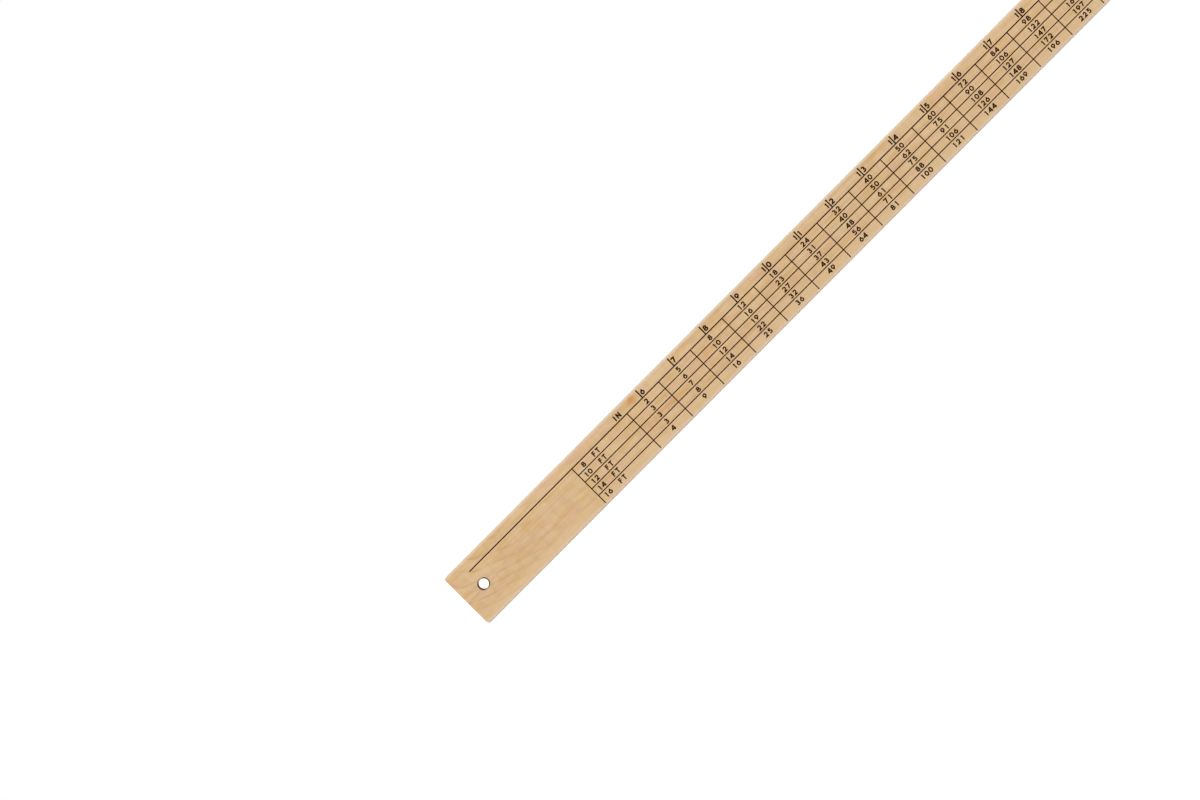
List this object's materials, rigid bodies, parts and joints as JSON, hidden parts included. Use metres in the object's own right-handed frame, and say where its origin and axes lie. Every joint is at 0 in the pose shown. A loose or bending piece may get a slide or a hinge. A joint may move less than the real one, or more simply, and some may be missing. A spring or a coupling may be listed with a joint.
{
  "type": "log scale stick",
  "caption": "Flat hardwood rule with inked tables and graduations for estimating the board feet in logs and standing trees, drilled at one end for hanging.",
  "frame": {"origin": "on the surface that the stick stands on, under the middle of its length and of its thickness", "axes": "+X along the stick from the hole end, where every scale starts, to the far end; -Y out of the log face and +Y out of the tree face; +Z across the width from the long log edge, which it stands on, to the height edge"},
  "size_m": [0.8128, 0.0078, 0.036],
  "materials": {
    "lacquered_hardwood": "pale maple under satin clear lacquer",
    "black_ink": "satin black ink set flush with the wood"
  },
  "bodies": {
    "root": {"hardwood_stick": "lacquered_hardwood", "log_diameter_marks": "black_ink", "log_volume_table": "black_ink", "long_log_marks": "black_ink", "tree_diameter_marks": "black_ink", "tree_volume_table": "black_ink", "log_height_marks": "black_ink"}
  },
  "joints": []
}
